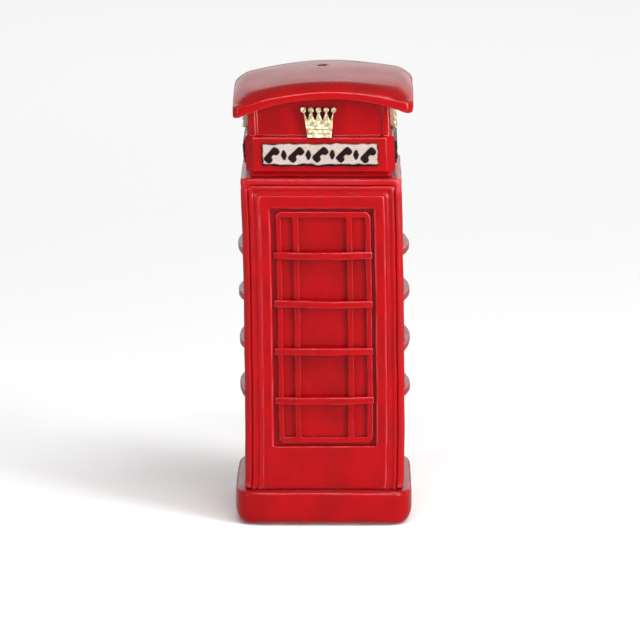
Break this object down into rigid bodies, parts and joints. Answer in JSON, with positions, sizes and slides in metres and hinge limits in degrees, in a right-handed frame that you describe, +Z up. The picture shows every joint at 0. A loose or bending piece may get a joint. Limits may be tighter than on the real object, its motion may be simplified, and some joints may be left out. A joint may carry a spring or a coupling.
{
  "type": "miniature telephone booth shaker",
  "caption": "Miniature telephone booth: hollow square tower with relief door, lattice windows, sign and crown on every side, domed roof with a pour hole, and a pull-out base stopper.",
  "frame": {"origin": "on the table, under the middle of the plinth", "axes": "+Z up through the pour hole, -Y towards the front, +X to the right as seen from the front"},
  "size_m": [0.0396, 0.0396, 0.1],
  "materials": {
    "red_enamel": "hand-painted semi-gloss red enamel over a ceramic casting, with a dark wash left in the hollows",
    "gold_paint": "pale gold metallic paint with a brown wash",
    "silver_paint": "pale silver metallic paint with a brown wash",
    "dark_paint": "dark brown paint rubbed over raised marks",
    "stopper_rubber": "matt off-white rubber"
  },
  "bodies": {
    "casting": {"plinth": "red_enamel", "shaft": "red_enamel", "head": "red_enamel", "roof_cap": "red_enamel", "surround_front": "red_enamel", "surround_right": "red_enamel", "surround_back": "red_enamel", "surround_left": "red_enamel", "panel_front": "red_enamel", "panel_right": "red_enamel", "panel_back": "red_enamel", "panel_left": "red_enamel", "lattice_front": "red_enamel", "lattice_right": "red_enamel", "lattice_back": "red_enamel", "lattice_left": "red_enamel", "cross_bars_front": "red_enamel", "cross_bars_right": "red_enamel", "cross_bars_back": "red_enamel", "cross_bars_left": "red_enamel", "sign_front": "silver_paint", "sign_right": "silver_paint", "sign_back": "silver_paint", "sign_left": "silver_paint", "sign_marks_front": "dark_paint", "sign_marks_right": "dark_paint", "sign_marks_back": "dark_paint", "sign_marks_left": "dark_paint", "crown_front": "gold_paint", "crown_right": "gold_paint", "crown_back": "gold_paint", "crown_left": "gold_paint"},
    "stopper": {"stopper": "stopper_rubber"}
  },
  "joints": [
    {"name": "stopper_pull", "type": "slide", "parent": "casting", "child": "stopper", "axis": [0, 0, -1], "range_m": [0, 0.025]}
  ]
}
